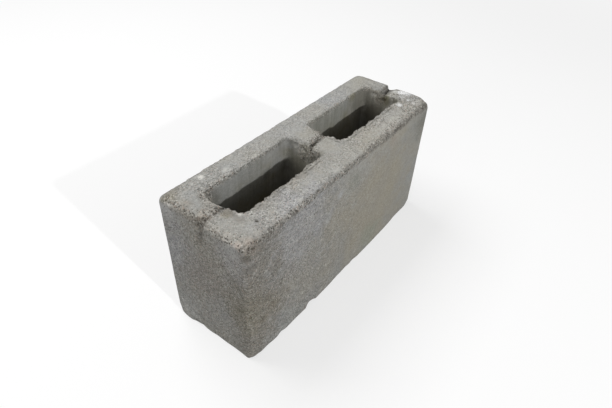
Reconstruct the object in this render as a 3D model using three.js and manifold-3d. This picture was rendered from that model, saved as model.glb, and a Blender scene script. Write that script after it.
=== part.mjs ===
// A two-core hollow concrete block, cast in one piece and standing on its bed face.
// Millimetres, +Z up. The origin is the middle of the bottom bed face, +X runs along the
// length and +Y across the width. The rough face left by the mould's core bar is on top.
import * as THREE from "three";
import { mergeVertices } from "three/addons/utils/BufferGeometryUtils.js";
import Module from "manifold-3d";

// ---- Outside ----
const blockLength = 390; // X, end face to end face
const blockWidth = 130; // Y, face to face
const blockHeight = 190; // Z, bed face to bed face
const bedArris = 0.8; // nearly sharp edges at the bed
// Plan radii of the upright edges.
const rightBackCorner = 9; // +X +Y
const leftBackCorner = 6.5; // -X +Y
const leftFrontCorner = 8; // -X -Y
const rightFrontCorner = 14; // +X -Y, the most worn
const wornCorner = 25; // plan radius of that one at the top face
// Radii of the worn rounding where each side meets the top face.
const rightArris = 9.5; // end face at +X
const backArris = 11.5; // long face at +Y, the most worn
const leftArris = 8; // end face at -X
const frontArris = 8; // long face at -Y

// ---- Cores, measured just under their mouths ----
const leftWeb = 36; // concrete between the -X end face and a core
const middleWeb = 40.5; // concrete between the two cores
const rightWeb = 33; // concrete between a core and the +X end face
const frontShell = 39.3; // concrete between the -Y face and a core
const backShell = 35.5; // concrete between a core and the +Y face
const coreDraft = 1.3; // how far each core wall comes in between its mouth and the bed
const coreCorner = 6; // plan radius of a core's corners
// Radii of the rounding of a core's mouth.
const leftMouth = 5; // -X side, crumbled
const rightMouth = 2.5; // +X side
const frontMouth = 5; // -Y side, crumbled
const backMouth = 2.5; // +Y side

// ---- Mark of the core bar, a trough along the top of the three webs ----
const markDepth = 5; // end web at -X and middle web
const markY = -4; // where those two are deepest
const markBackReach = 9; // from the deepest line to the gentle +Y shoulder
const markFrontReach = 4; // from the deepest line to the steep -Y shoulder
const rightMarkDepth = 8.5; // end web at +X, where the bar hung lower and leaned
const rightMarkY = 4;
const rightMarkBackReach = 3.5;
const rightMarkFrontReach = 16;

// ---- Shallow upright groove under the mark in both end faces ----
const endGrooveDepth = 2; // at the top face
const endGrooveY = -2.5; // where it is deepest
const endGrooveBackReach = 10; // from there to the gentle +Y side
const endGrooveFrontReach = 3; // from there to the steep -Y side
const endGrooveLength = 50; // down to where it fades out

// ---- Facets ----
const cornerSteps = 8; // per quarter turn in plan
const arrisSteps = 6; // per quarter turn of an edge rounding
const markSteps = 7; // per flank of a trough
const overrun = 2; // how far a cutter passes the face that it opens

const coreLength = (blockLength - leftWeb - middleWeb - rightWeb) / 2;
const leftCoreStart = leftWeb - blockLength / 2; // X of each core's -X wall
const rightCoreStart = leftCoreStart + coreLength + middleWeb;

const wasm = await Module();
wasm.setup();

// A rectangle with rounded corners at height z, anticlockwise from above. The radii start at
// the +X +Y corner and go the same way round.
function roundedRing({ left, right, front, back }, radii, z) {
  const ring = [];
  for (let corner = 0; corner < 4; corner++) {
    const r = radii[corner];
    const middleX = corner === 0 || corner === 3 ? right - r : left + r;
    const middleY = corner < 2 ? back - r : front + r;
    for (let i = 0; i <= cornerSteps; i++) {
      const angle = ((corner + i / cornerSteps) * Math.PI) / 2;
      ring.push(new THREE.Vector3(middleX + r * Math.cos(angle), middleY + r * Math.sin(angle), z));
    }
  }
  return ring;
}

// The closed skin over level rings of equal count, anticlockwise from above, bottom first.
function loft(rings) {
  const count = rings[0].length;
  const points = rings.flat();
  const faces = [];
  for (let k = 0; k + 1 < rings.length; k++) {
    for (let i = 0; i < count; i++) {
      const a = k * count + i;
      const b = k * count + ((i + 1) % count);
      faces.push(a, b, b + count, a, b + count, a + count);
    }
  }
  const cap = (ring, first, turned) => {
    const flat = ring.map((p) => new THREE.Vector2(p.x, p.y));
    for (const [a, b, c] of THREE.ShapeUtils.triangulateShape(flat, [])) {
      faces.push(first + a, first + (turned ? c : b), first + (turned ? b : c));
    }
  };
  cap(rings[0], 0, true);
  cap(rings.at(-1), points.length - count, false);
  const geometry = new THREE.BufferGeometry().setFromPoints(points);
  geometry.setIndex(faces);
  return geometry;
}

// A closed three.js geometry as a solid that can be joined and cut.
function solid(geometry) {
  const bare = geometry.clone();
  bare.deleteAttribute("normal");
  bare.deleteAttribute("uv");
  const merged = mergeVertices(bare, 1e-4);
  return new wasm.Manifold(
    new wasm.Mesh({
      numProp: 3,
      vertProperties: new Float32Array(merged.attributes.position.array),
      triVerts: new Uint32Array(merged.index.array),
    }),
  );
}

// How far a rounding of this radius comes in from its side, at a distance under the top face.
function arrisInset(radius, below) {
  const rise = Math.max(radius - below, 0);
  return radius - Math.sqrt(radius ** 2 - rise ** 2);
}

// The cast outline: upright sides, a small bed arris and the worn top arrises.
function outerBody() {
  const corners = [rightBackCorner, leftBackCorner, leftFrontCorner, rightFrontCorner];
  const topCorners = [rightBackCorner, leftBackCorner, leftFrontCorner, wornCorner];
  const arrises = [rightArris, backArris, leftArris, frontArris];
  // worn runs from 0 at the sides to 1 at the top face.
  const level = ([right, back, left, front], z, worn = 0) => {
    const sides = {
      left: left - blockLength / 2,
      right: blockLength / 2 - right,
      front: front - blockWidth / 2,
      back: blockWidth / 2 - back,
    };
    const radii = corners.map((radius, i) => radius + worn * (topCorners[i] - radius));
    return roundedRing(sides, radii, z);
  };
  const rings = [level(Array(4).fill(bedArris), 0), level(Array(4).fill(0), bedArris)];
  const tallest = Math.max(...arrises);
  for (let i = 0; i <= arrisSteps; i++) {
    const below = tallest * (1 - Math.sin(((i / arrisSteps) * Math.PI) / 2));
    const insets = arrises.map((radius) => arrisInset(radius, below));
    rings.push(level(insets, blockHeight - below, arrisInset(tallest, below) / tallest));
  }
  return solid(loft(rings));
}

// One core, from the X of its -X wall: it widens with the draft towards the top, and its
// mouth rolls outwards.
function core(start) {
  const ring = ([toLeft, toRight, toFront, toBack], z) => {
    const sides = {
      left: start - toLeft,
      right: start + coreLength + toRight,
      front: frontShell - blockWidth / 2 - toFront,
      back: blockWidth / 2 - backShell + toBack,
    };
    const outsets = [toRight + toBack, toLeft + toBack, toLeft + toFront, toRight + toFront];
    return roundedRing(
      sides,
      outsets.map((sum) => coreCorner + sum / 2),
      z,
    );
  };
  const mouths = [leftMouth, rightMouth, frontMouth, backMouth];
  const tallest = Math.max(...mouths);
  const belowBed = coreDraft * (1 + overrun / (blockHeight - tallest));
  const rings = [ring(Array(4).fill(-belowBed), -overrun)];
  for (let i = 0; i <= arrisSteps; i++) {
    const below = tallest * (1 - Math.sin(((i / arrisSteps) * Math.PI) / 2));
    const outsets = mouths.map((radius) => arrisInset(radius, below));
    rings.push(ring(outsets, blockHeight - below));
  }
  rings.push(ring(mouths, blockHeight + overrun));
  return solid(loft(rings));
}

// Depth of a smooth hollow at a distance from its deepest line.
function hollowDepth(depth, distance, reach) {
  return depth * Math.cos((Math.PI / 2) * Math.min(distance / reach, 1)) ** 2;
}

// The bar's trough between two X positions, cut down from the top face.
function barMark(fromX, toX, y, depth, backReach, frontReach) {
  const outline = new THREE.Shape();
  outline.moveTo(y - frontReach, blockHeight + overrun);
  for (let i = -markSteps; i <= markSteps; i++) {
    const reach = i < 0 ? frontReach : backReach;
    const offset = (i / markSteps) * reach;
    outline.lineTo(y + offset, blockHeight - hollowDepth(depth, Math.abs(offset), reach));
  }
  outline.lineTo(y + backReach, blockHeight + overrun);
  const bar = new THREE.ExtrudeGeometry(outline, { depth: toX - fromX, bevelEnabled: false });
  const along = new THREE.Matrix4().makeBasis(
    new THREE.Vector3(0, 1, 0),
    new THREE.Vector3(0, 0, 1),
    new THREE.Vector3(1, 0, 0),
  );
  bar.applyMatrix4(along).translate(fromX, 0, 0);
  return solid(bar);
}

// The upright groove in one end face; side is -1 or +1 along X. It fades out at its foot.
function endGroove(side) {
  const foot = blockHeight - endGrooveLength;
  const level = (z) => {
    const depth = (endGrooveDepth * (z - foot)) / endGrooveLength;
    const ring = [];
    for (let i = -markSteps; i <= markSteps; i++) {
      const reach = i < 0 ? endGrooveFrontReach : endGrooveBackReach;
      const offset = (i / markSteps) * reach;
      const cut = hollowDepth(depth, Math.abs(offset), reach);
      ring.push(new THREE.Vector3(side * (blockLength / 2 - cut), endGrooveY + offset, z));
    }
    const outside = side * (blockLength / 2 + overrun);
    ring.push(new THREE.Vector3(outside, endGrooveY + endGrooveBackReach, z));
    ring.push(new THREE.Vector3(outside, endGrooveY - endGrooveFrontReach, z));
    return side > 0 ? ring.reverse() : ring;
  };
  return solid(loft([level(foot - overrun), level(blockHeight + overrun)]));
}

function hollowBlock() {
  const end = blockLength / 2 + overrun;
  const mark = [markY, markDepth, markBackReach, markFrontReach];
  const rightMark = [rightMarkY, rightMarkDepth, rightMarkBackReach, rightMarkFrontReach];
  const cuts = [
    core(leftCoreStart),
    core(rightCoreStart),
    barMark(-end, rightCoreStart + overrun, ...mark),
    barMark(rightCoreStart + coreLength - overrun, end, ...rightMark),
    endGroove(-1),
    endGroove(1),
  ];
  const cast = cuts.reduce((body, cut) => body.subtract(cut), outerBody()).getMesh();
  const geometry = new THREE.BufferGeometry();
  geometry.setAttribute("position", new THREE.BufferAttribute(cast.vertProperties, 3));
  geometry.setIndex(new THREE.BufferAttribute(cast.triVerts, 1));
  return geometry.toNonIndexed();
}

const concrete = new THREE.MeshStandardMaterial({
  color: 0x94938b,
  roughness: 0.95,
  metalness: 0,
});

const geometry = hollowBlock();
geometry.computeVertexNormals();
const block = new THREE.Mesh(geometry, concrete);
block.name = "hollow_block";

const part = new THREE.Group();
part.add(block);
export default part;
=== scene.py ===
# %% [markdown]
# # A hollow concrete block
# The object is one dry-cast concrete block, 390 x 130 x 190 mm, with two cores that run
# right through it. A block machine shakes a stiff, barely wet mix of sand, fine gravel and
# cement in a steel mould and pushes the block out at once, while it is still soft. That
# history is the whole look: flat faces where steel slid past, a pale skin of cement paste
# where the shoe pressed on top, and crumbly edges where loose grains came away.
#
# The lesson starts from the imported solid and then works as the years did: first the true
# shape, then wear, then the mineral colours.

# %% Load the frame
import itertools
import math

import bpy
import numpy as np
from mathutils import Matrix, Vector


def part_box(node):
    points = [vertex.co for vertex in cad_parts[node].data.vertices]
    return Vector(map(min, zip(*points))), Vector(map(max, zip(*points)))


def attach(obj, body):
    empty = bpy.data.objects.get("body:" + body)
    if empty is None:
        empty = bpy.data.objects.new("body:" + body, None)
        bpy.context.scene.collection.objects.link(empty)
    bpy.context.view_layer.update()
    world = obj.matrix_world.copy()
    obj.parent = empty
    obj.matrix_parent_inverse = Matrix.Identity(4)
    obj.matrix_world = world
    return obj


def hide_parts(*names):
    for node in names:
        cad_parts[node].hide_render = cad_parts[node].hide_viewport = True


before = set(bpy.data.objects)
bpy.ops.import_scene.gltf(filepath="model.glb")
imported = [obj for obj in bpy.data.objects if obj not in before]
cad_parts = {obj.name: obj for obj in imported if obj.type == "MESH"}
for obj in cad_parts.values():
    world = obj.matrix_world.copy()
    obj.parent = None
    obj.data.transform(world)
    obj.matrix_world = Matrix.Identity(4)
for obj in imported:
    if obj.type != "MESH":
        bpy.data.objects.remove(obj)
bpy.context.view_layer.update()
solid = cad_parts["hollow_block"]
low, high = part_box("hollow_block")
print("solid from", [round(1000 * v, 1) for v in low], "to", [round(1000 * v, 1) for v in high], "mm")

# %% [markdown]
# ## The camera
# A block tells its story from a high corner: the top with both cores, one long face and one
# end. The camera could be aimed with a Track To constraint, but a constraint levels the
# horizon. A hand-held view rolls a little, so the camera's three axes are worked out here
# and put in its matrix. Nothing is shifted: the middle of the view is the middle of the
# lens.

# %% Camera
MM = 0.001  # one millimetre in Blender's metres
IMAGE_WIDTH, IMAGE_HEIGHT = 612, 408  # pixels of the finished picture
FOCAL_PIXELS = 491.1
SENSOR_WIDTH = 36.0
eye = Vector((-422.1, -298.4, 526.0)) * MM
ahead = Vector((0.6146, 0.4468, -0.6501)).normalized()
roll = math.radians(2.6513)

level_right = ahead.cross(Vector((0, 0, 1))).normalized()
level_up = level_right.cross(ahead)
right = math.cos(roll) * level_right + math.sin(roll) * level_up
up = math.cos(roll) * level_up - math.sin(roll) * level_right

lens = bpy.data.cameras.new("corner_view")
lens.sensor_fit = "HORIZONTAL"
lens.sensor_width = SENSOR_WIDTH
lens.lens = FOCAL_PIXELS * SENSOR_WIDTH / IMAGE_WIDTH
lens.clip_start = 0.01
camera = bpy.data.objects.new("corner_view", lens)
bpy.context.scene.collection.objects.link(camera)
turn = Matrix((right, up, -ahead)).transposed().to_4x4()
camera.matrix_world = Matrix.Translation(eye) @ turn
bpy.context.scene.camera = camera
print("lens", round(lens.lens, 2), "mm for a picture of", IMAGE_WIDTH, "x", IMAGE_HEIGHT)

# %% [markdown]
# ## Colours and nodes
# Colours are named as the screen shows them, in sRGB hex. Blender mixes light in linear
# values, so every colour in this lesson goes through one function. A second one adds a
# shader node with its settings and links, whatever its kind.


# %% Colour and add-node helpers
def linear(hex_colour):
    """An sRGB hex colour as Blender's linear RGBA."""
    shares = [int(hex_colour[i : i + 2], 16) / 255 for i in (1, 3, 5)]
    return [s / 12.92 if s <= 0.04045 else ((s + 0.055) / 1.055) ** 2.4 for s in shares] + [1.0]


def add(tree, kind, inputs=None, out=None, **settings):
    """Adds a shader node and returns its output: the one named out, or else the first in use.
    settings are the node's properties. inputs are values or outputs for its sockets, by name
    or number."""
    node = tree.nodes.new("ShaderNode" + kind)
    for name, value in settings.items():
        setattr(node, name, value)
    for key, value in (inputs or {}).items():
        in_use = [s for s in node.inputs if s.enabled]
        socket = in_use[key] if isinstance(key, int) else next(s for s in in_use if s.name == key)
        if isinstance(value, bpy.types.NodeSocket):
            tree.links.new(value, socket)
        else:
            socket.default_value = value
    return next((s for s in node.outputs if s.enabled and out in (None, s.name)), node)


print("cement grey", [round(v, 3) for v in linear("#9e9d97")[:3]])

# %% [markdown]
# ## The measures of the block
# The wear below is placed by distance from real edges, so the block's own measures come
# first, in millimetres: the outline, the cores and the trough that the core bar left on the
# webs. One function answers every question of place: how far inside a rounded rectangle,
# seen from above, does a point lie?

# %% Measures
LENGTH, WIDTH, HEIGHT = 390.0, 130.0, 190.0
RIGHT_BACK, LEFT_BACK, RIGHT_FRONT, LEFT_FRONT = 9.0, 6.5, 14.0, 8.0  # radii of upright edges
CORE_LENGTH, CORE_WIDTH, CORE_CORNER = 140.25, 55.2, 6.0
CORE_MIDDLES = ((-88.9, 1.9), (91.9, 1.9))
NEAR_WEB, MIDDLE_WEB, FAR_WEB = (-195.0, -159.0), (-18.75, 21.75), (162.0, 195.0)  # in X


def inset(points, length, width, corner, middle=(0.0, 0.0)):
    """How far inside a rounded rectangle points lie in plan. Outside is negative."""
    past_x = np.abs(points[:, 0] - middle[0]) - (length / 2 - corner)
    past_y = np.abs(points[:, 1] - middle[1]) - (width / 2 - corner)
    outside = np.hypot(np.maximum(past_x, 0), np.maximum(past_y, 0))
    inside = np.minimum(np.maximum(past_x, past_y), 0)
    return corner - outside - inside


def from_sides(points):
    """Distance in plan from the outline, whose four upright edges are worn to different radii."""
    on_right, at_back = points[:, 0] > 0, points[:, 1] > 0
    back_radius = np.where(on_right, RIGHT_BACK, LEFT_BACK)
    front_radius = np.where(on_right, RIGHT_FRONT, LEFT_FRONT)
    return inset(points, LENGTH, WIDTH, np.where(at_back, back_radius, front_radius))


def from_cores(points):
    """Distance in plan from the nearer core wall: more than 0 in the concrete."""
    size = (CORE_LENGTH, CORE_WIDTH, CORE_CORNER)
    return -np.maximum.reduce([inset(points, *size, middle) for middle in CORE_MIDDLES])


print("middle web from", MIDDLE_WEB[0], "to", MIDDLE_WEB[1], "mm")

# %% [markdown]
# ## Soft borders
# No kind of wear stops at a line, so every border below is a smooth rise from 0 to 1. The
# plain formula t * t * (3 - 2 * t) starts and ends level, as a Map Range node does when it
# is set to Smooth Step.


# %% Soft borders
def step(value, start, end):
    """0 before start, 1 after end, with a smooth rise between them."""
    t = np.clip((value - start) / (end - start), 0, 1)
    return t * t * (3 - 2 * t)


def between(value, start, end, soft):
    """1 from start to end, falling smoothly to 0 over a distance of soft on either side."""
    return step(value, start - soft, start) * (1 - step(value, end, end + soft))


print("half way up a soft border from 0 to 4 mm:", step(np.array([2.0]), 0, 4)[0])

# %% [markdown]
# ## Irregularity that repeats exactly
# Stone wears by chance, but a scene has to come out the same each time. The noise below
# takes its random numbers from the place itself: each corner of a grid of cells gets a
# value worked out from its whole-number position, and points between corners get a smooth
# mix. Its cell size is in millimetres, so "grain 3" means lumps about 3 mm across.


# %% Noise
def noise(points, grain, seed):
    """Smooth random values from -1 to 1 for points in mm. grain is the size of the lumps."""
    cell = points / grain + 31.7 * seed
    corner = np.floor(cell)
    share = cell - corner
    share = share * share * (3 - 2 * share)
    corner = corner.astype(np.int64)
    total = np.zeros(len(points))
    for offset in itertools.product((0, 1), repeat=3):
        weight = np.prod(np.where(offset, share, 1 - share), axis=1)
        i, j, k = (corner + offset).T
        # Large odd factors and shifts stir the position's bits until they look random.
        mixed = (i * 73856093) ^ (j * 19349663) ^ (k * 83492791) ^ (seed * 40503)
        mixed = ((mixed ^ (mixed >> 13)) * 1274126177) & 0xFFFFFFFF
        mixed = ((mixed ^ (mixed >> 15)) * 2246822519) & 0xFFFFFFFF
        total += weight * ((mixed ^ (mixed >> 16)) / 2**31 - 1)
    return total


sample = noise(np.random.default_rng(1).uniform(0, 300, (2000, 3)), 5.0, 1)
print("noise from", round(sample.min(), 2), "to", round(sample.max(), 2))

# %% [markdown]
# ## The soft block
# The solid has large flat faces, and nothing can be worn into a face with no points in it.
# Subdividing it would stretch the long thin triangles into longer ones. A voxel remesh
# instead lays an even skin of small squares over the same shape, whatever its triangles
# were, which is what wear that pays no heed to edges needs. The copy starts exactly where
# the solid is.

# %% Even skin
VOXEL = 0.8  # mm


def applied(piece, *modifiers):
    """Gives piece the mesh that it has after these modifiers, each (name, type, settings)."""
    for name, kind, settings in modifiers:
        modifier = piece.modifiers.new(name, kind)
        for key, value in settings.items():
            setattr(modifier, key, value)
    graph = bpy.context.evaluated_depsgraph_get()
    mesh = bpy.data.meshes.new_from_object(piece.evaluated_get(graph))
    piece.modifiers.clear()
    piece.data = mesh


def places_of(mesh):
    """The mesh's points in mm, one in each row."""
    flat = np.empty(3 * len(mesh.vertices))
    mesh.vertices.foreach_get("co", flat)
    return flat.reshape(-1, 3) / MM


block = bpy.data.objects.new("cast_block", solid.data.copy())
bpy.context.scene.collection.objects.link(block)
applied(block, ("even_skin", "REMESH", {"mode": "VOXEL", "voxel_size": VOXEL * MM}))
places = places_of(block.data)
normals = np.empty(places.size, np.float32)
block.data.vertex_normals.foreach_get("vector", normals)
normals = normals.reshape(-1, 3).astype(float)
print("even skin of", len(places), "points")

# %% [markdown]
# ## Where it is worn
# Each kind of wear has its own place. The upright walls slid along steel and stayed whole.
# The edge round the top, the core mouths and the bar's trough were never held by steel, so
# grains fell away. One end of this block has had the rougher life: there the arris is
# crumbled to loose grains, while at the other end it is rubbed smooth. The masks below run
# from 0 to 1, and noise moves their borders so that none of them follows a ruled line.
#
# The edges come first. A point's distance from an edge is the greater of its distance from
# the side and its depth under the top, so the mask wraps round the edge.

# %% Worn arris
ARRIS_FADE = (4.5, 9.0)  # mm from the edge: worn up to the first, whole from the second


def worn_arris(p, ragged, weathered):
    """How worn the edge round the top is."""
    x, y, z = p.T
    front = step(-y, 0.0, 20.0)
    # At the front it is worn further down the face, and at the near end less far into the top.
    spared = 2.2 * front * (1 - step(x, 0.0, 60.0))
    from_edge = np.maximum(from_sides(p) + spared, (1.4 - 0.55 * front) * (HEIGHT - z))
    arris = 1 - step(from_edge + 0.8 * ragged, *ARRIS_FADE)
    # Handling has rubbed the far end smooth again, all but its front corner.
    arris *= weathered + (1 - weathered) * (0.35 + 0.45 * front)
    return arris * (1 - 0.7 * step(x, 162.0, 180.0) * step(y, -58.0, -40.0))


print("arris worn over", ARRIS_FADE, "mm")

# %% [markdown]
# The mouths of the cores are worn in the same way, and in a few places the wear has run on
# down the core walls. Those are given one by one, as ellipsoids.

# %% Worn mouths and broken walls
MOUTH_FADE = (3.0, 6.5)  # mm
BROKEN = (  # middle and reach in mm, and strength
    ((-157, 25, 180), (14, 15, 23), 0.9),
    ((-158, 9, 181), (10, 13, 11), 0.8),
    ((-17, -6, 180), (9, 22, 18), 0.75),
    ((165, 3, 183), (10, 16, 14), 0.5),
)


def worn_mouth(p, ragged):
    """How worn the edges of the core mouths are."""
    x, y, z = p.T
    mouth = 1 - step(np.maximum(from_cores(p), 0.8 * (HEIGHT - z)) + 0.8 * ragged, *MOUTH_FADE)
    # The lips on the middle and the far web stayed crisper, and so did parts of the back rim.
    crisp = np.maximum(between(x, -26.0, -8.0, 4.0), between(x, 156.0, 172.0, 4.0) * (y < 22.0))
    whole_rim = 0.4 * between(x, -100.0, 110.0, 25.0) + 0.7 * between(x, 128.0, 152.0, 10.0)
    whole_rim *= step(y, 22.0, 29.0)
    return mouth * (1 - np.maximum(0.55 * crisp, whole_rim))


def broken_walls(p, ragged):
    """The crumbled places on the core walls."""
    broken = np.zeros(len(p))
    for middle, reach, strength in BROKEN:
        apart = np.linalg.norm((p - np.array(middle)) / np.array(reach), axis=1)
        broken = np.maximum(broken, strength * (1 - step(apart + 0.10 * ragged, 0.7, 1.05)))
    return broken


print(len(BROKEN), "crumbled places on the core walls")

# %% [markdown]
# ## The bar's trough and its crack
# The bar that held the mould's cores was pulled out of the top of all three webs and left a
# trough. In the middle and the far web the concrete tore under it, so a ragged crack runs
# along, a little askew. Each line below is a distance across the web from such a slanting
# line, and the crack's depth falls off from it like a bell.


# %% Trough and crack
def trough_and_crack(p, ragged):
    """Shares of the trough, of the crack in it and of the notch in the far web."""
    x, y, z = p.T
    down = HEIGHT - z
    shallow = 1 - step(down, 8.0, 14.0)
    off_trough = y + 0.2 * (x + 180) + ragged
    near = between(x, *NEAR_WEB, 4.0) * shallow * between(off_trough, -6.0, 7.0, 4.0)
    off_line = y + 1.9 - 0.28 * x + 0.8 * ragged
    middle = between(x, *MIDDLE_WEB, 4.0) * shallow
    trough = np.maximum(near, middle * between(off_line + ragged, -4.0, 6.0, 3.0))
    crack = middle * np.exp(-((off_line / 1.9) ** 2)) * (1 - step(down, 4.0, 8.0))
    crack *= step(noise(p, 6.0, 14), -0.8, 0.0)
    far = between(x, *FAR_WEB, 4.0) * (1 - step(down, 12.0, 20.0))
    far_line = y - 0.6 - 0.27 * (x - 176) + 0.4 * ragged
    far_crack = far * np.exp(-((far_line / 1.6) ** 2)) * (0.4 + 0.6 * step(from_cores(p), 0.5, 4.0))
    notch = far * between(y + ragged, -4.0, 6.0, 4.0)
    return trough, np.maximum(crack, far_crack), notch


middle_of_block = np.array([[0.0, -2.0, HEIGHT]])
print("trough, crack and notch there:", [round(v[0], 2) for v in trough_and_crack(middle_of_block, 0.0)])

# %% [markdown]
# ## Pressed lines
# Two thin lines are left. The bar pressed a groove into the near end, which leans and has one sharp and
# one soft border, and a dark line runs along the front of both cores, just outside their pale rims. The
# groove's shade is later painted into the colour along this mask.


# %% Groove and rim line
def pressed_lines(p, ragged):
    """Shares of the groove in the near end and of the line in front of the cores."""
    x, y, z = p.T
    down, core = HEIGHT - z, from_cores(p)
    off_groove = y + 3.6 - 0.16 * (179 - z) + 0.3 * ragged
    groove = np.where(off_groove < 0, np.exp(-((off_groove / 1.2) ** 2)), np.exp(-off_groove / 3.5))
    groove *= (1 - step(x, -192.0, -189.0)) * (1 - step(down, 25.0, 50.0))
    rim_line = np.exp(-(((core - 7.3 + 0.5 * ragged) / 1.1) ** 2))
    rim_line *= np.maximum(between(x, 12.0, 137.0, 4.0), 0.9 * between(x, -145.0, -34.0, 6.0))
    rim_line *= (1 - step(y, -8.0, 0.0)) * (0.3 + 1.2 * step(noise(p, 3.5, 15), -0.3, 0.4))
    return groove, rim_line * (1 - step(down, 1.0, 4.0))


print("groove on its line:", round(pressed_lines(np.array([[-195.0, -3.6, 179.0]]), 0.0)[0][0], 2))

# %% [markdown]
# ## All the masks
# One function gathers them, because they are needed twice: on the even skin for the depth
# of the wear, and on the finished mesh for the colours.


# %% Wear masks
def wear_masks(p):
    """Shares from 0 to 1 for points in mm, by name."""
    x, _, z = p.T
    down, core = HEIGHT - z, from_cores(p)
    ragged = 1.8 * noise(p, 16.0, 11) + 1.1 * noise(p, 5.0, 12)  # mm, moves every border
    weathered = 1 - step(x + 30 * noise(p, 70.0, 13), -150.0, 110.0)  # the rougher end
    arris, mouth = worn_arris(p, ragged, weathered), worn_mouth(p, ragged)
    broken = broken_walls(p, ragged)
    trough, crack, notch = trough_and_crack(p, ragged)
    groove, rim_line = pressed_lines(p, ragged)
    return {
        "weathered": weathered,
        "crumbled": np.maximum.reduce([arris, 0.9 * mouth, 0.95 * trough, 0.6 * notch, broken]),
        "broken": broken,
        "arris": arris,
        "mouth": mouth,
        "crack": crack,
        "notch": notch,
        "groove": groove,
        "rim_line": rim_line,
        "core_wall": 1 - step(core, 0.5, 3.0),
        "top": (1 - step(down, 1.0, 4.0)) * step(core, 2.0, 6.0) * step(from_sides(p), 3.0, 8.0),
    }


masks = wear_masks(places)
for name, share in masks.items():
    print(f"{name:10} {100 * share.mean():5.1f} % of the points")

# %% [markdown]
# ## Knocks and swellings
# Beside the even wear a block collects single events. A knock spalls a shell-shaped chip off
# an edge, and a wet mix slumps a little on its pallet, so the foot swells past the mould's
# line. Each is a smooth hollow inside an ellipsoid: its middle, its reach along X, Y and Z,
# and its depth, all in millimetres. A negative depth swells out.

# %% Knocks at the foot
FOOT_KNOCKS = (
    # chips along the foot of the long face
    ((-188, -65, 0), (13, 10, 11), 2.8),
    ((-170, -65, 0), (14, 10, 8), 0.9),
    ((-142, -65, 0), (7, 6, 5), 1.1),
    ((-82, -65, 0), (12, 10, 8), 3.2),
    ((20, -65, 0), (10, 8, 6), 0.9),
    ((150, -65, 0), (26, 10, 8), 0.7),
    ((183, -65, 0), (12, 10, 10), 1.5),
    ((195, -65, 0), (22, 20, 10), 0.3),
    # foot of the near end: the left corner, two swellings and a shallow chip
    ((-195, 65, 0), (14, 14, 14), 2.2),
    ((-195, 42, -2), (10, 28, 30), -3.2),
    ((-195, 6, -2), (8, 16, 24), -0.9),
    ((-195, -42, 0), (8, 24, 16), 0.6),
    # the long face's foot swells too
    ((-70, -65, -2), (95, 10, 26), -1.6),
    ((55, -65, -2), (90, 10, 26), -1.6),
)
print(len(FOOT_KNOCKS), "knocks and swellings at the foot")

# %% [markdown]
# Round the top, the lips of the cores and the ends of the troughs took the knocks. Between
# two broken places a lip often stands a little proud.

# %% Knocks at the top
TOP_KNOCKS = (
    # the near trough's inner end: broken lips, and concrete left in the core's corner
    ((-163, 12, 190), (15, 20, 20), 5.0),
    ((-158, 30, 190), (14, 12, 14), 3.0),
    ((-180, -5.5, 186), (16, 4, 6), -1.8),
    ((-158, 27, 182), (9, 9, 22), -1.6),
    ((-157, 11, 182), (7, 12, 9), -2.0),
    # broken lips where the troughs meet the cores
    ((-16, -24, 190), (9, 9, 14), 1.6),
    ((-17, 6, 191), (12, 12, 16), 2.6),
    ((19, 0, 190), (8, 7, 10), 2.4),
    ((168, 10, 192), (14, 11, 20), 6.0),
    ((156, -27, 190), (10, 6, 12), 3.4),
    ((-17, 14, 190), (6, 14, 10), 2.2),
    ((-24, 27, 190), (10, 6, 10), 1.6),
    ((-162, -3, 190), (6, 8, 12), 2.4),
    # hollows in the front lips
    ((-88, -27, 190), (28, 5, 12), 2.0),
    ((-126, -27, 190), (6, 5, 8), 1.1),
    ((-70, -27, 190), (6, 5, 8), 1.4),
    ((30, -26, 190), (7, 5, 10), 1.6),
    ((74, -27, 190), (15, 6, 12), 4.0),
    # outer ends of the troughs
    ((-196, 0, 186), (12, 14, 10), 2.2),
    ((191, -6, 190), (12, 12, 8), 1.2),
    # a lost pebble, and the rubbed far corner
    ((-156.5, -45.4, 190), (2.6, 2.6, 4), 2.6),
    ((194, -60, 186), (14, 16, 18), 1.0),
    # places that stand proud
    ((22, -15, 187), (7, 8, 10), -2.2),
    ((42, -28, 190), (7, 5, 8), -1.0),
    ((-160, -19, 188), (6, 8, 8), -1.6),
    ((-33, -24, 188), (7, 6, 8), -1.2),
    ((-140, -28, 190), (9, 5, 8), -1.0),
    ((-79, -27, 190), (6, 5, 8), -1.2),
    ((21, -6, 188), (5, 6, 8), -1.0),
    ((-181, 61, 187), (12, 8, 8), -0.7),
)
knocks = FOOT_KNOCKS + TOP_KNOCKS
knocked = np.zeros(len(places))
wobble = 1 + 0.35 * noise(places, 7.0, 41)
for middle, reach, depth_there in knocks:
    apart = np.linalg.norm((places - np.array(middle)) / np.array(reach), axis=1) * wobble
    knocked += depth_there * np.clip(1 - apart**2, 0, 1) ** 1.5
print(len(knocks), "in all, from", round(knocked.min(), 1), "to", round(knocked.max(), 1), "mm")

# %% [markdown]
# ## How deep it is worn
# Depth is added up in millimetres along the surface's own direction. Broad lumps give the
# wavy lips, middling ones the crumbled band, and small ones single lost grains. Faces that
# met steel get only a slow waviness, too shallow to see but enough to break up a highlight.

# %% Wear depths
LUMP, CRUMB, GRIT, LOST_GRAIN = 9.0, 4.2, 2.2, 3.0  # mm across
lump = noise(places, LUMP, 21)
crumb = noise(places, CRUMB, 22)
grit = noise(places, GRIT, 23)
lost_grain = np.clip(noise(places, LOST_GRAIN, 24) - 0.35, 0, None)

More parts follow.
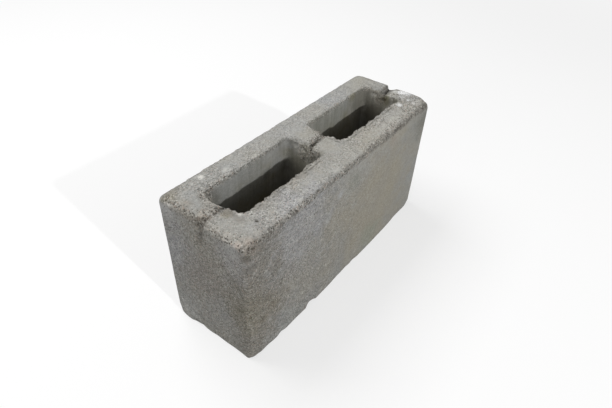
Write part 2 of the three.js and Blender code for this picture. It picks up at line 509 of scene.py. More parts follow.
depth = 0.25 * noise(places, 45.0, 31) + 0.10 * noise(places, 14.0, 32)
depth += masks["crumbled"] * (0.35 + 0.7 * lump + 0.6 * crumb + 0.45 * grit)
depth += 2.3 * masks["crumbled"] * lost_grain
front_lip = places[:, 1] < -20
wavy = 0.6 + 1.2 * front_lip
toothed = 1 + 0.6 * front_lip * (places[:, 0] < 0)
depth += masks["mouth"] * (wavy * noise(places, 17.0, 25) + toothed * (0.7 * crumb + 0.4 * grit))
rougher = 1 + 0.8 * step(places[:, 0], -20.0, 60.0)  # the shoe left more grains standing there
depth += rougher * masks["top"] * (0.22 * crumb + 0.12 * grit)
depth += masks["crack"] * (2.2 + 1.2 * crumb)
depth += 1.0 * masks["groove"] + 0.5 * masks["rim_line"]
dragged = places * np.array([1.0, 1.0, 0.07])  # long cells: streaks run up and down
depth += masks["core_wall"] * 0.35 * noise(dragged, 4.0, 33)
print("even wear", round(depth.mean(), 2), "mm on average")

# %% [markdown]
# ## Wear the block
# Every point moves inwards along its own normal by the depth found for it. A Displace
# modifier does that from a texture, but here the depth is known point by point. Nothing
# sinks below the pallet that the block stood on.

# %% Move the points
SHALLOWEST, DEEPEST = -4.0, 9.0  # mm
depth = np.clip(depth + knocked, SHALLOWEST, DEEPEST)
worn_places = places - normals * depth[:, None]
worn_places[:, 2] = np.maximum(worn_places[:, 2], 0.0)
block.data.vertices.foreach_set("co", (worn_places * MM).ravel())
block.data.update()
print("points moved", round(float(np.abs(worn_places - places).max()), 2), "mm at most")

# %% [markdown]
# ## Only the faces that earn their place
# The even skin spends as many faces on a flat wall as on a crumbled edge. Decimate joins
# faces where that changes the shape least, so it keeps the grains and thins out the walls.

# %% Thin out
FACE_LIMIT = 196000  # triangles
triangles = sum(len(face.vertices) - 2 for face in block.data.polygons)
applied(block, ("thin_out", "DECIMATE", {"ratio": FACE_LIMIT / triangles}))
block.data.shade_smooth()
thinned = sum(len(face.vertices) - 2 for face in block.data.polygons)
print("from", triangles, "to", thinned, "triangles")

# %% [markdown]
# ## What the concrete needs to know
# Some of the finish follows the wear. How bare the grains lie, where dirt has settled and where shade is
# painted, and which walls are inside the cores is worked out once for each point of the mesh and stored
# as named attributes, so that the material reads it there, and the finish stays in place however the
# block is turned. The pressed top keeps a few patches of whole paste skin.

# %% Bare grains
SKINS = (  # whole skin on the top: middle in X and Y, reach in X and Y, in mm
    ((-173, -36), (17, 24)),
    ((-177, 27), (13, 18)),
    ((1, -26), (15, 17)),
    ((1, 22), (14, 16)),
    ((-68, -48), (22, 8)),
    ((56, -49), (26, 9)),
    ((116, -44), (22, 9)),
    ((-100, 46), (20, 10)),
    ((166, 47), (24, 13)),
)
places = places_of(block.data)
masks = wear_masks(places)
x, y, z = places.T
skin = np.zeros(len(places))
for middle, reach in SKINS:
    apart = np.hypot((x - middle[0]) / reach[0], (y - middle[1]) / reach[1])
    skin = np.maximum(skin, 1 - step(apart + 0.35 * noise(places, 9.0, 42), 0.65, 1.1))
skin *= masks["top"]
bare = np.maximum(masks["crumbled"], 0.42 * masks["weathered"] + 0.15)
open_top = masks["top"] * (0.42 + 0.38 * step(x, 0.0, 90.0) * step(-y, 0.0, 20.0))
bare = np.maximum(bare, open_top) * (1 - 0.5 * skin)
bare *= 1 - 0.8 * masks["core_wall"] * step(HEIGHT - z, 4.0, 9.0) * (1 - masks["broken"])
print("grains lie bare by", round(100 * bare.mean()), "% on average")

# %% [markdown]
# Dirt settles where rain doesn't reach, and shade is painted where it falls: in the crack and the notch
# for dirt and for their shade, deep in the cores as painted shade, in the groove of the near end as
# painted shade and dirt, in the rim lines, and as a speckled band of dirt where the front arris meets
# its face.

# %% Grime and painted shade
# painted shade and dirt: the crack is dark for the shade of its steep wall and for dirt
crack_dirt_and_shade = masks["crack"] * (0.75 + 0.6 * noise(places, 3.0, 44)) * (1 - 0.4 * masks["core_wall"])
# painted shade: the core walls turn darker from 24 mm to 50 mm under the top
core_shade = masks["core_wall"] * step(HEIGHT - z, 24.0, 50.0)
arris_dirt = (1 - masks["weathered"]) * (0.06 + 0.22 * step(x, 20.0, 120.0))
arris_dirt = (arris_dirt + 0.19 * step(x, -185.0, -150.0)) * masks["arris"] * (y < 0)
arris_dirt *= 0.55 + 1.1 * step(noise(places, 3.2, 43), -0.25, 0.35)
arris_dirt *= 1 - step(from_sides(places), 5.0, 9.0)
arris_dirt *= 1 - 0.7 * step(z, 187.0, 189.5)
# painted shade along the near end's groove, and the dark rim lines
groove_shade_and_rim_line = np.maximum(0.3 * masks["groove"], 0.5 * masks["rim_line"])
# the notch is darkened for dirt and for its shade
grime_and_shade = np.maximum.reduce([crack_dirt_and_shade, 0.4 * masks["notch"], arris_dirt, 0.55 * core_shade, groove_shade_and_rim_line])
print("grime covers", round(100 * grime_and_shade.mean()), "% on average")

# %% Store the masks
stored = {"bare": bare, "grime_and_shade": grime_and_shade, "core_wall": masks["core_wall"], "skin": skin}
for name, share in stored.items():
    attribute = block.data.attributes.new(name, "FLOAT", "POINT")
    attribute.data.foreach_set("value", share.astype(np.float32))
print("stored", ", ".join(stored), "on", len(places), "points")

# %% [markdown]
# ## Dry-cast concrete
# Concrete is sand and fine gravel held by grey cement paste. Dry-cast concrete holds so
# little paste that the grains show: each face is a close speckle of grey paste, dark and
# tan sand and a few pale quartz grains, about 1 to 2 mm across, with pin-holes between
# them. It is quite matt. The colour drifts over a hand's breadth from bluish to tan, as
# damp and lime came out unevenly.
#
# All patterns are three-dimensional and measured in millimetres on the block, so a grain
# goes round an edge as a real one does, with no seams.

# %% Concrete: coordinates and masks
concrete = bpy.data.materials.new("dry_cast_concrete")
concrete.use_nodes = True
tree = concrete.node_tree
tree.nodes.clear()
where = add(tree, "TexCoord", out="Object")
mm = add(tree, "VectorMath", {0: where, "Scale": 1000.0}, operation="SCALE")
mask = {
    name: add(tree, "Attribute", out="Fac", attribute_name=name, attribute_type="GEOMETRY")
    for name in stored
}
print("masks read by the material:", ", ".join(mask))

# %% [markdown]
# ### Cement paste
# The paste is the ground colour. A slow noise drifts it between a cool grey and a warm,
# faintly tan grey over a hand's breadth.

# %% Paste
COOL_PASTE, WARM_PASTE = "#9c9d9b", "#a19f97"
DRIFT = 60  # mm from one tone to the next
drift = add(tree, "TexNoise", {"Vector": mm, "Scale": 1 / DRIFT, "Detail": 2.0}, out="Fac")
drift = add(tree, "MapRange", {"Value": drift, "From Min": 0.38, "From Max": 0.62})
colours = {"Factor": drift, "A": linear(COOL_PASTE), "B": linear(WARM_PASTE)}
paste = add(tree, "Mix", colours, data_type="RGBA")
print("paste from", COOL_PASTE, "to", WARM_PASTE)

# %% [markdown]
# ### Stains
# Damp, lime and algae leave soft-edged stains. A stain soaks in from one place, so each is a ball of
# colour: its middle and reach in millimetres, its colour and its strength. The same balls also paint
# shade and light where the tables below say so. A middle outside the block stains only the face beside
# it. A warp of the coordinates keeps the balls from looking round. A painted image would need a flat
# unwrapping; balls of colour go round the edges by themselves.

# %% How a stain is laid
WARP = 22  # mm between the bends of a stain's border
WARP_SHARE = 1.1  # how far it is bent, as a share of the stain's reach
FULL_SHARE = 0.25  # the share of its reach in which a stain has its full strength
warp = add(tree, "TexNoise", {"Vector": mm, "Scale": 1 / WARP, "Detail": 3.0}, out="Color")
warp = add(tree, "VectorMath", {0: warp, 1: (-0.5, -0.5, -0.5)}, operation="ADD")


def stained(colour, stains, only=None):
    """The colour with these stains laid over it, each (middle, reach, colour, strength).
    only names the mask that they are kept to."""
    for middle, reach, stain, strength in stains:
        bent = {0: warp, 1: (WARP_SHARE * reach,) * 3, 2: mm}
        bent = add(tree, "VectorMath", bent, operation="MULTIPLY_ADD")
        apart = add(tree, "VectorMath", {0: bent, 1: middle}, out="Value", operation="DISTANCE")
        fade = {"Value": apart, "From Min": reach, "From Max": FULL_SHARE * reach, "To Max": strength}
        fade = add(tree, "MapRange", fade, interpolation_type="SMOOTHSTEP")
        if only:
            fade = add(tree, "Math", {0: fade, 1: mask[only]}, operation="MULTIPLY")
        layers = {"Factor": fade, "A": colour, "B": linear(stain)}
        colour = add(tree, "Mix", layers, data_type="RGBA")
    return colour


print("a stain's border bends every", WARP, "mm")

# %% [markdown]
# The long face has dried tan in its middle and stayed bluish towards the top, where lime came out.
# Towards the near corner and down its upright edge it is darker.

# %% Stains on the long face
FACE_STAINS = (
    # tan middle, bluish and pale top, and a grey-green tongue below the arris
    ((60, -95, 100), 160, "#a59d89", 0.55),
    ((-112, -85, 165), 85, "#a9abb0", 0.85),
    ((0, -95, 180), 80, "#acaca8", 0.70),
    ((0, -66, 158), 22, "#90938a", 0.60),
    # dark near corner
    ((-205, -110, 95), 108, "#5d5646", 0.95),
    ((-200, -72, 155), 58, "#726d63", 0.85),
    ((-154, -66, 182), 24, "#7f7d79", 0.70),
    ((-199, -69, 158), 24, "#575247", 0.60),
    ((-195, -68, 28), 36, "#69645b", 0.70),
    ((-165, -85, 70), 50, "#7c735f", 0.65),
    ((-165, -66, 158), 20, "#6f6c64", 0.50),
    ((-159, -66, 104), 16, "#6f6a60", 0.50),
    ((-165, -67, 30), 22, "#746d5f", 0.40),
    ((-124, -75, 104), 28, "#8a8885", 0.50),
    ((-147, -67, 144), 14, "#67635a", 0.45),
    ((-180, -75, 88), 34, "#67615a", 0.40),
    # foot, and the far end
    ((-53, -68, 8), 14, "#b5b3ac", 0.50),
    ((-130, -80, 8), 45, "#9da3a6", 0.55),
    ((58, -75, 22), 40, "#959a8c", 0.60),
    ((160, -75, 165), 50, "#96968f", 0.50),
    ((182, -66, 158), 36, "#7c7c74", 0.70),
    ((90, -66, 170), 14, "#aaa096", 0.45),
    ((185, -75, 55), 40, "#9c9f9f", 0.40),
)
paste = stained(paste, FACE_STAINS)
print(len(FACE_STAINS), "stains on the long face")

# %% [markdown]
# The end face is pale and bluish, and its groove is painted brown and dark, for dirt and for its shade.
# On the top the corners are dark and the back is cooler than the front.

# %% Stains on the end and the top
END_STAINS = (
    # bluish and pale sides
    ((-215, 62, 124), 68, "#b1b4bb", 0.75),
    ((-198, 52, 178), 27, "#c8cace", 0.80),
    ((-205, 52, 24), 40, "#b4b6b6", 0.65),
    ((-200, -48, 160), 34, "#bcbcbd", 0.75),
    # painted shade and brown dirt in the groove, and the face below it
    ((-196, -1, 179), 11, "#6f6857", 0.55),
    ((-196, 0, 162), 16, "#7d776a", 0.35),
    ((-210, 5, 100), 55, "#8f8880", 0.60),
    ((-200, -62, 80), 45, "#79745f", 0.60),
)
TOP_STAINS = (
    # olive left corner, pink near corner and the ground round the near trough
    ((-195, 46, 198), 22, "#7c7558", 0.80),
    ((-184, -64, 186), 15, "#968578", 0.65),
    ((-182, 0, 187), 15, "#8c7f74", 0.60),
    ((-184, 29, 190), 9, "#8f897f", 0.55),
    ((-169, -14, 190), 10, "#837d69", 0.80),
    ((-166, 14, 188), 13, "#8d887c", 0.55),
    # middle web
    ((15, 11, 188), 9, "#86837a", 0.65),
    # far corners, and the pale front of the far web
    ((190, -50, 190), 20, "#7d7a71", 0.75),
    ((193, -36, 190), 16, "#7b7870", 0.75),
    ((192, 36, 190), 16, "#7b7972", 0.75),
    ((177, -39, 190), 23, "#b0b4b8", 0.65),
    # cooler along the back, warmer along the front
    ((-30, 90, 205), 95, "#a9acb1", 0.50),
    ((90, 90, 205), 95, "#a9acb1", 0.50),
    ((85, -52, 200), 45, "#bcbab4", 0.50),
)
paste = stained(paste, END_STAINS + TOP_STAINS)
print(len(END_STAINS), "stains on the end and", len(TOP_STAINS), "on the top")

# %% [markdown]
# Inside the cores the walls lie in shade, and the shade is painted into their colour: brown in the depth
# of both cores, dark in the far corners under the mouths, on the end walls, on the middle web's wall and
# along the shadow's edge on the back walls. The upper back walls are a little darker grey. These colours
# are kept to the core walls by a mask.

# %% Painted shade and stains in the cores
CORE_SHADE_AND_STAINS = (
    # painted shade: brown in the depth of both cores
    ((-90, 0, 85), 112, "#766d46", 0.85),
    ((92, 0, 85), 112, "#6f6641", 0.90),
    # back walls a little darker, and painted shade in the far corner
    ((-100, 27, 172), 80, "#8d8f8c", 0.60),
    ((150, 27, 178), 44, "#6c6a60", 0.80),
    ((130, 30, 186), 12, "#77735a", 0.70),
    ((162, -5, 181), 15, "#5f5a45", 0.80),
    ((70, 27, 170), 80, "#85867d", 0.70),
    # painted shade on the near and far end walls
    ((-155, 29, 168), 34, "#6a6860", 0.70),
    ((162, 8, 150), 36, "#4f4a3c", 0.80),
    # painted shade on the middle web's wall, beside it, and along the shadow's edge on the back wall
    ((-19, 14, 162), 32, "#6d6958", 0.75),
    ((-24, -18, 165), 30, "#6d6955", 0.60),
    ((-22, 31, 151), 15, "#3f3c30", 0.60),
    ((-58, 31, 153), 12, "#3f3c30", 0.50),
)
paste = stained(paste, CORE_SHADE_AND_STAINS, only="core_wall")
print(len(CORE_SHADE_AND_STAINS), "stains in the cores")

# %% [markdown]
# ### Sand grains
# A Voronoi texture fills space with cells the size of sand grains, and gives each cell a
# random value. A colour ramp turns that value into the mix of the sand: mostly grains
# coated with paste, some dark, some tan or pinkish, a few pale. Whole faces show them
# through a film of paste; crumbled edges show them bare.

# %% Grains
GRAIN = 1.3  # mm, medium sand
SAND = (
    (0.00, "#5c5952"),  # dark basalt and shadow-grey grains
    (0.12, "#7f7c75"),
    (0.30, "#97958f"),  # grains still coated with paste
    (0.70, "#aaa79f"),
    (0.84, "#ac9e92"),  # pinkish and tan feldspar
    (0.93, "#cbc9c2"),  # quartz
)
cells = {"Vector": mm, "Scale": 1 / GRAIN}
grain_value = add(tree, "TexVoronoi", cells, out="Color")
grain_value = add(tree, "SeparateColor", {0: grain_value}, out="Red")
ramp_out = add(tree, "ValToRGB", {0: grain_value}, out="Color")
ramp = ramp_out.node.color_ramp
ramp.interpolation = "CONSTANT"
while len(ramp.elements) < len(SAND):
    ramp.elements.new(1.0)
for stop, (start, colour) in zip(ramp.elements, SAND):
    stop.position = start
    stop.color = linear(colour)
THROUGH_PASTE, LAID_BARE = 0.05, 0.85  # how much of a grain's own colour shows
shown = {"Value": mask["bare"], "To Min": THROUGH_PASTE, "To Max": LAID_BARE}
shown = add(tree, "MapRange", shown)
surface = add(tree, "Mix", {"Factor": shown, "A": paste, "B": ramp_out}, data_type="RGBA")
print(len(SAND), "kinds of grain,", GRAIN, "mm across")

# %% [markdown]
# ### Uneven paste
# Between the grains the paste itself is lighter and darker from one clump of sand to the
# next, a few millimetres apart. Hue/Saturation/Value scales the brightness by that noise,
# and more strongly where the surface is bare.

# %% Mottling
CLUMP, PATCH = 2.6, 7  # mm across: a clump of sand, and a patch of clumps
MOTTLING = (0.03, 0.30)  # lighter and darker by this share, on whole and on bare surfaces
clump = {"Vector": mm, "Scale": 1 / CLUMP, "Detail": 2.0, "Roughness": 0.6}
clump = add(tree, "TexNoise", clump, out="Fac")
patch = add(tree, "TexNoise", {"Vector": mm, "Scale": 1 / PATCH, "Detail": 1.0}, out="Fac")
clump = add(tree, "Math", {0: patch, 1: 0.7, 2: clump}, operation="MULTIPLY_ADD")
clump = add(tree, "MapRange", {"Value": clump, "From Min": 0.6, "From Max": 1.1, "To Min": -1.0})
contrast = {"Value": mask["bare"], "To Min": MOTTLING[0], "To Max": MOTTLING[1]}
contrast = add(tree, "MapRange", contrast)
level = add(tree, "Math", {0: clump, 1: contrast, 2: 1.0}, operation="MULTIPLY_ADD")
surface = add(tree, "HueSaturation", {"Color": surface, "Value": level})
print("mottled by", round(100 * MOTTLING[0]), "% where whole,", round(100 * MOTTLING[1]), "% where bare")

# %% [markdown]
# ### Drag streaks
# The mould's cores were drawn out upwards and dragged the paste along. The same kind of
# noise, squeezed to a few hundredths of its length in Z, becomes upright streaks, and the
# mask keeps them to the core walls.

# %% Streaks
STREAK_WIDTH = 4  # mm
STREAKS = 0.21  # from dark to light, as a share of the brightness
drawn = add(tree, "VectorMath", {0: mm, 1: (1.0, 1.0, 0.06)}, operation="MULTIPLY")
streaks = add(tree, "TexNoise", {"Vector": drawn, "Scale": 1 / STREAK_WIDTH, "Detail": 3.0}, out="Fac")
streaks = {"Value": streaks, "From Min": 0.3, "From Max": 0.7}
streaks.update({"To Min": -STREAKS / 2, "To Max": STREAKS / 2})
streaks = add(tree, "MapRange", streaks)
level = add(tree, "Math", {0: streaks, 1: mask["core_wall"], 2: 1.0}, operation="MULTIPLY_ADD")
surface = add(tree, "HueSaturation", {"Color": surface, "Value": level})
print("streaks", STREAK_WIDTH, "mm wide")

# %% [markdown]
# ### Dirt and painted shade over the grains
# The broken funnels at the ends of the crack are painted darker, for damp dirt and for the shade on
# their slopes, and so are the crumbled end and the mouths' edges. In the far web one pale patch is
# painted light over a ledge's shadow. This colour hides the grains, so it is laid over the finished
# surface, by the same function as the stains.

# %% Dirt and painted shade
DIRT_AND_SHADE = (
    # broken lips of the middle web: dirt, and painted shade on the funnel's slopes
    ((-17, -4, 181), 17, "#6b6755", 0.25),
    ((-18, 2, 187), 10, "#716e62", 0.65),
    ((-19, 19, 187), 11, "#6e6d66", 0.65),
    ((-13, 6, 188), 6, "#6e6d66", 0.40),
    ((-26, 28, 184), 14, "#7a7972", 0.45),
    ((-18, -23, 188), 9, "#77746a", 0.60),
    # far web: dirt and painted shade in its notch and on the core's wall beside it
    ((165, 4, 184), 14, "#5d5843", 0.30),
    ((164, 15, 189), 10, "#746f63", 0.55),
    ((164, -8, 182), 13, "#625d49", 0.40),
    ((161, -24, 185), 10, "#5d5845", 0.55),
    # painted light over a ledge's shadow, then painted shade down the crack's line
    ((163, 3, 180), 5, "#8b887e", 0.50),
    ((163, -4, 186), 4, "#4a4632", 0.75),
    ((163, -6, 181), 4, "#4a4632", 0.75),
    ((163, -10, 186), 4, "#8b8a72", 0.50),
    # broken corner of the near core
    ((-157, 24, 176), 18, "#7b776e", 0.35),
    # top of the near end, across the end of the trough
    ((-198, 26, 187), 17, "#675d51", 0.22),
    ((-195, 3, 187), 10, "#5c5549", 0.50),
    ((-190, -4, 186), 6, "#453f36", 0.50),
    ((-184, -3, 187), 10, "#5f574b", 0.35),
    ((-190, 5, 188), 6, "#6b6155", 0.40),
    ((-196, 13, 187), 9, "#6b6155", 0.45),
    ((-195, 24, 188), 8, "#6b675e", 0.30),
    ((-196, -28, 185), 7, "#7a766d", 0.30),
    # near corner and down its upright edge
    ((-186, -67, 186), 10, "#6b5f54", 0.35),
    ((-176, -69, 182), 20, "#6f6a61", 0.30),
    ((-150, -68, 180), 16, "#75716a", 0.25),
    ((-197, -67, 171), 14, "#5a554b", 0.70),
    ((-195, -67, 156), 15, "#5a554b", 0.50),
    ((-196, -66, 136), 12, "#5f5a50", 0.30),
    ((-182, -67, 158), 13, "#5f5b52", 0.38),
    # along the front arris, and the near corner's tip
    ((-121, -66, 184), 8, "#77746e", 0.40),
    ((39, -67, 187), 7, "#75726b", 0.40),
    ((145, -66, 187), 8, "#6f6c66", 0.45),
    ((-196, -64, 188), 9, "#70665d", 0.50),
    # back of the top
    ((-34, 43, 190), 12, "#8f8e88", 0.30),
    ((-193, 55, 189), 8, "#6f6a58", 0.35),
    ((-181, 57, 189), 11, "#6f6a5e", 0.45),
)
surface = stained(surface, DIRT_AND_SHADE)
print(len(DIRT_AND_SHADE), "patches of dirt")

# %% [markdown]
# Along the mouths the top is a little darker in patches, and at the head of the groove in the near end
# its shade is painted dark.

# %% Darker patches round the mouths
MOUTH_DARK_PATCHES = (
    ((-165, -14, 190), 10, "#78746d", 0.60),
    ((-165, -31, 190), 9, "#7d7973", 0.55),
    ((-166, -23, 190), 6, "#7d7973", 0.45),
    ((-112, -31, 190), 10, "#7b7870", 0.50),
    ((-35, -33, 190), 6, "#85827b", 0.40),
    ((5, -10, 190), 7, "#87847b", 0.40),
    ((-60, -31, 190), 16, "#7d7b74", 0.45),
    ((-72, -34, 190), 8, "#85827b", 0.40),
    ((-99, -29, 188), 7, "#77746b", 0.45),
    ((132, -29, 190), 9, "#77746b", 0.50),
    ((-140, -32, 189), 10, "#86837c", 0.45),
    ((170, -8, 188), 7, "#75726a", 0.50),
    # painted shade at the head of the groove in the near end
    ((-196, 6, 179), 8, "#5f594d", 0.40),
)
surface = stained(surface, MOUTH_DARK_PATCHES)
print(len(MOUTH_DARK_PATCHES), "patches round the mouths")

# %% [markdown]
# ### Pale paste
# Where the shoe pressed hardest and where the dirt was rubbed away, clean paste shows. It is paler, and
# a little pinkish at the crumbled end. Beside the near trough one pale spot is painted light on a shaded
# slope, and the lost pebble's hole is painted dark for its shade.

# %% Pale paste
PALE_PASTE_WITH_LIGHT_AND_SHADE = (
    # front of the top
    ((110, -57, 192), 14, "#bab8b1", 0.50),
    ((167, -52, 190), 9, "#bcbab5", 0.45),
    ((-168, -58, 189), 7, "#b8b4ac", 0.40),
    ((-34, -22, 186), 6, "#a6a399", 0.40),
    ((118, -50, 205), 55, "#b3b1ab", 0.25),
    # near end and its corners
    ((-194, -52, 188), 7, "#d6c8bd", 0.55),
    ((-149, 55, 188), 10, "#bdbdb8", 0.35),
    ((-196, -46, 175), 14, "#b0b0ae", 0.50),
    ((-196, 57, 176), 13, "#bcbcba", 0.75),
    ((-196, 49, 183), 8, "#c4c3c0", 0.55),
    # beside the near trough, the first painted light on a shaded slope
    ((-162, 15, 184), 10, "#b0ada6", 0.70),
    ((-156, 11, 180), 8, "#a39e95", 0.40),
    ((-169, 0, 187), 7, "#a59c92", 0.20),
    ((-185, 5, 190), 5, "#c4beb4", 0.40),
    # front arris
    ((-103, -61, 189), 8, "#bdbbb4", 0.50),
    ((-134, -63, 189), 7, "#b5b2ab", 0.40),
    ((-147, -62, 189), 7, "#b0ada5", 0.40),
    # spots along the top's edges and under them
    ((-196, -9, 188), 8, "#c0bab0", 0.55),
    ((-34, -60, 189), 8, "#bdbbb4", 0.50),
    ((84, -53, 190), 10, "#bfbdb6", 0.40),
    ((-182, -57, 189), 8, "#c2b8ae", 0.35),
    ((-193, -38, 187), 9, "#bdb8af", 0.40),
    ((-192, -21, 188), 7, "#bbb5ab", 0.35),
    ((-196, 34, 176), 13, "#a9a9a6", 0.40),
    ((-197, 24, 179), 8, "#b4b4b2", 0.40),
    ((-197, -47, 179), 9, "#b8b8b6", 0.40),
    ((-121, 30, 189), 7, "#b3b2ad", 0.40),
    ((-196, -62, 95), 18, "#8a857a", 0.30),
    # painted shade in the hole that the lost pebble left
    ((-156.5, -45.4, 188), 3.5, "#4a463d", 0.80),
)
surface = stained(surface, PALE_PASTE_WITH_LIGHT_AND_SHADE)
print(len(PALE_PASTE_WITH_LIGHT_AND_SHADE), "spots of paste")

# %% [markdown]
# ### Lime
# Water that dries on the top leaves crusts of white lime, and a streak of it runs across
# the far web.

# %% Lime
LIME = (
    ((-161, -26, 189), 4, "#d6d4ce", 0.70),
    ((-144, 50, 190), 6, "#dcdad4", 0.80),
    ((-116, 38, 190), 8, "#cbcac5", 0.50),
    ((147, -37, 190), 7, "#dfdfde", 0.80),
    ((168, -40, 190), 4, "#dadada", 0.70),
    ((171, -29, 190), 6, "#d2d2d0", 0.50),
    ((165, -49, 190), 4, "#d4d3d0", 0.65),
    # a streak on the far web
    ((178, -12, 189), 7, "#cfcfca", 0.65),
    ((182, -22, 189), 9, "#f0f0f0", 0.95),
    ((184, -30, 188), 9, "#e6e6e6", 0.85),
    # on the long face
    ((-32, -66, 155), 9, "#c6c8cc", 0.35),
    ((-54, -66, 132), 9, "#c0c2c4", 0.30),
)
surface = stained(surface, LIME)
print(len(LIME), "crusts of lime")

# %% [markdown]
# ### Pin-holes, crevices, grime and painted shade
# Where a grain fell out there is a hole, painted dark for the shade inside it. On whole faces the holes
# are rare and small; on crumbled edges they run together into crevices that little light gets into, and
# they are painted dark as shade too. Grime and the painted shade that the mesh holds are laid over them.

# %% Holes and painted shade
SHADE_AND_GRIME_COLOUR = "#45413a"
HOLE_SPACING = 3.6  # mm
HOLE_REACH = (0.06, 0.29)  # radius as a share of the spacing, on whole and on bare surfaces
CREVICE = 2.4  # mm across
holes = add(tree, "TexVoronoi", {"Vector": mm, "Scale": 1 / HOLE_SPACING}, out="Distance")
hole_size = {"Value": mask["bare"], "To Min": HOLE_REACH[0], "To Max": HOLE_REACH[1]}
hole_size = add(tree, "MapRange", hole_size)
hole = add(tree, "Math", {0: hole_size, 1: holes}, operation="SUBTRACT")
edge = {"Value": hole, "From Min": -0.03, "From Max": 0.06}
hole = add(tree, "MapRange", edge, interpolation_type="SMOOTHSTEP")
crevice = {"Vector": mm, "Scale": 1 / CREVICE, "Detail": 3.0, "Roughness": 0.6}
crevice = add(tree, "TexNoise", crevice, out="Fac")
edge = {"Value": crevice, "From Min": 0.44, "From Max": 0.34}
crevice = add(tree, "MapRange", edge, interpolation_type="SMOOTHSTEP")
crevice = add(tree, "Math", {0: crevice, 1: mask["bare"]}, operation="MULTIPLY")
# painted shade in the holes and crevices, then the grime and painted shade of the mask
dark = add(tree, "Math", {0: hole, 1: crevice}, operation="MAXIMUM")
shade_and_grime = add(tree, "Math", {0: dark, 1: 0.82}, operation="MULTIPLY")
shade_and_grime = add(tree, "Math", {0: shade_and_grime, 1: mask["grime_and_shade"]}, operation="MAXIMUM")
surface = add(tree, "Mix", {"Factor": shade_and_grime, "A": surface, "B": linear(SHADE_AND_GRIME_COLOUR)}, data_type="RGBA")
print("holes up to", round(2 * HOLE_REACH[1] * HOLE_SPACING, 1), "mm across")

# %% [markdown]
# ### Relief too fine for the mesh
# The mesh carries lumps of 2 mm and more. Single grains are smaller, so a Bump node tilts the
# light on them instead: a grain stands proud by about a third of a millimetre.

# %% Relief
RELIEF = 0.35  # mm high
ROUGH_PASTE = 1.1  # mm across, the paste's own fine roughness
grain_dome = add(tree, "TexVoronoi", cells, out="Distance")
grain_dome = add(tree, "Math", {0: grain_dome, 1: shown}, operation="MULTIPLY")
fine = {"Vector": mm, "Scale": 1 / ROUGH_PASTE, "Detail": 3.0, "Roughness": 0.6}
fine = add(tree, "TexNoise", fine, out="Fac")
relief = add(tree, "Math", {0: fine, 1: grain_dome}, operation="SUBTRACT")
relief = add(tree, "Math", {0: relief, 1: dark}, operation="SUBTRACT")
bump = add(tree, "Bump", {"Height": relief, "Distance": RELIEF * MM}, out="Normal")
print("relief of", RELIEF, "mm")

# %% [markdown]
# ### The shader
# Concrete is no metal and has no coat. Quartz and cement have an IOR of about 1.5, but the
# surface is so broken up that hardly any gloss is left: its roughness stays near 1 and its
# specular level is lowered.

# %% Concrete: shader
ROUGHNESS = (0.86, 1.0)
rough = {"Value": fine, "To Min": ROUGHNESS[0], "To Max": ROUGHNESS[1]}
rough = add(tree, "MapRange", rough)
finish = {"Base Color": surface, "Roughness": rough, "Normal": bump}
shader = add(tree, "BsdfPrincipled", {**finish, "IOR": 1.5, "Specular IOR Level": 0.3})
add(tree, "OutputMaterial", {"Surface": shader})
block.data.materials.clear()
block.data.materials.append(concrete)
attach(block, "root")
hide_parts("hollow_block")
print("cast_block wears", block.data.materials[0].name)

# %% [markdown]
# ## The studio
# Everything stands on a plain pale floor. The camera sees it half lit up, so that it stays
# near white and keeps only a faint shadow, and away from the block it turns into the plain
# white of the backdrop. Other rays meet grey, which throws less light back.

# %% Floor
FLOOR_HALF = 8.0  # metres
FLOOR_LIT, FLOOR_SEEN = "#a0a0a0", "#f8f8f8"  # as the block meets it, and as the camera does
SHADOW_SHARE = 0.4  # how much of the shadows the camera sees near the block
NEAR, FAR = 0.9, 2.6  # metres: between them the floor turns white and meets the backdrop
floor_mesh = bpy.data.meshes.new("floor")
corners = [(x * FLOOR_HALF, y * FLOOR_HALF, 0.0) for x, y in ((-1, -1), (1, -1), (1, 1), (-1, 1))]
floor_mesh.from_pydata(corners, [], [(0, 1, 2, 3)])
floor = bpy.data.objects.new("floor", floor_mesh)
bpy.context.scene.collection.objects.link(floor)
print("floor of", 2 * FLOOR_HALF, "m")

# %% Floor paint
paint = bpy.data.materials.new("pale_floor_paint")
paint.use_nodes = True
floor_tree = paint.node_tree
floor_tree.nodes.clear()
seen = add(floor_tree, "LightPath", out="Is Camera Ray")
tones = {"Factor": seen, "A": linear(FLOOR_LIT), "B": linear(FLOOR_SEEN)}
matt = add(floor_tree, "BsdfDiffuse", {"Color": add(floor_tree, "Mix", tones, data_type="RGBA")})
white = add(floor_tree, "Emission", {"Strength": 1.0})
away = add(floor_tree, "TexCoord", out="Object")
away = add(floor_tree, "VectorMath", {0: away}, out="Value", operation="LENGTH")
fade = {"Value": away, "From Min": NEAR, "From Max": FAR, "To Min": 1 - SHADOW_SHARE}
fade = add(floor_tree, "MapRange", fade, interpolation_type="SMOOTHSTEP")
share = add(floor_tree, "Math", {0: seen, 1: fade}, operation="MULTIPLY")
both = add(floor_tree, "MixShader", {0: share, 1: matt, 2: white})
add(floor_tree, "OutputMaterial", {"Surface": both})
floor_mesh.materials.append(paint)
print("shadows keep", round(100 * SHADOW_SHARE), "% of their strength up to", NEAR, "m")

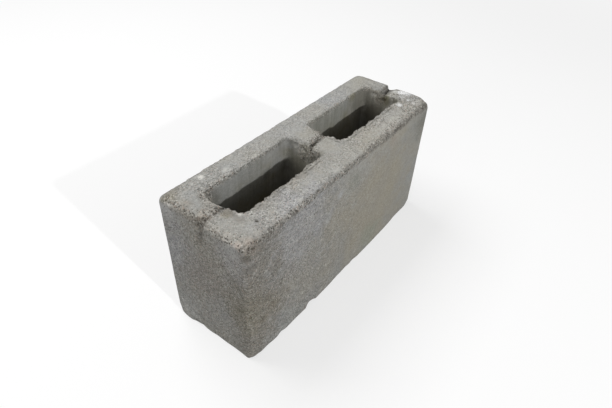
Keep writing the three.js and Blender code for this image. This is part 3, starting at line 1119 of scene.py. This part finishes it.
# %% [markdown]
# ## The light
# A high soft box a little behind the block lights its top, a small lamp low in front draws
# the edge of light inside the cores, a weak one lifts the end, and an even room fills the
# rest. A small lamp draws a crisp border, a large near one a soft one. Their level is
# chosen so that a colour shows about as it is written.

# %% Lamps
TARGET = Vector((0.0, 0.0, 0.1))


def lamp(name, place, level, width, depth=None):
    """An area lamp aimed at the block. level is how bright it makes a white face turned to it."""
    light = bpy.data.lights.new(name, "AREA")
    light.shape = "RECTANGLE" if depth else "DISK"
    light.size = width
    if depth:
        light.size_y = depth
    away = Vector(place) - TARGET
    light.energy = level * math.pi**2 * away.length_squared
    piece = bpy.data.objects.new(name, light)
    piece.location = place
    piece.rotation_euler = away.to_track_quat("Z", "Y").to_euler()
    bpy.context.scene.collection.objects.link(piece)
    print(name, "at", round(away.length, 2), "m,", round(light.energy, 1), "W")


KEY_HEIGHT = math.radians(29)
KEY_AWAY = 3.0  # metres
key = Vector((-0.15, -math.cos(KEY_HEIGHT), math.sin(KEY_HEIGHT))) * KEY_AWAY
lamp("low_key", key + TARGET, 0.45, 0.07)
lamp("high_soft_box", (-0.1, 1.0, 1.75), 0.70, 1.5, 1.0)
lamp("end_fill", (-2.6, -0.2, 0.9), 0.13, 1.2, 0.8)

# %% [markdown]
# The room is an even white glow. It lights the block weakly, while the camera and rays
# through gloss or glass see it at full white, so the background is plain.

# %% Room
world = bpy.data.worlds.new("even_room")
bpy.context.scene.world = world
world.use_nodes = True
room = world.node_tree
room.nodes.clear()
ROOM_LEVEL = 0.30
path = add(room, "LightPath").node
seen = {0: path.outputs["Is Camera Ray"], 1: path.outputs["Is Glossy Ray"]}
backdrop = add(room, "Math", seen, operation="MAXIMUM")
backdrop = add(room, "Math", {0: backdrop, 1: path.outputs["Is Transmission Ray"]}, operation="MAXIMUM")
strength = add(room, "MapRange", {"Value": backdrop, "To Min": ROOM_LEVEL, "To Max": 1.0})
glow = add(room, "Background", {"Color": (1, 1, 1, 1), "Strength": strength})
add(room, "OutputWorld", {"Surface": glow})
bpy.context.scene.view_settings.view_transform = "Standard"
print("room level", ROOM_LEVEL)
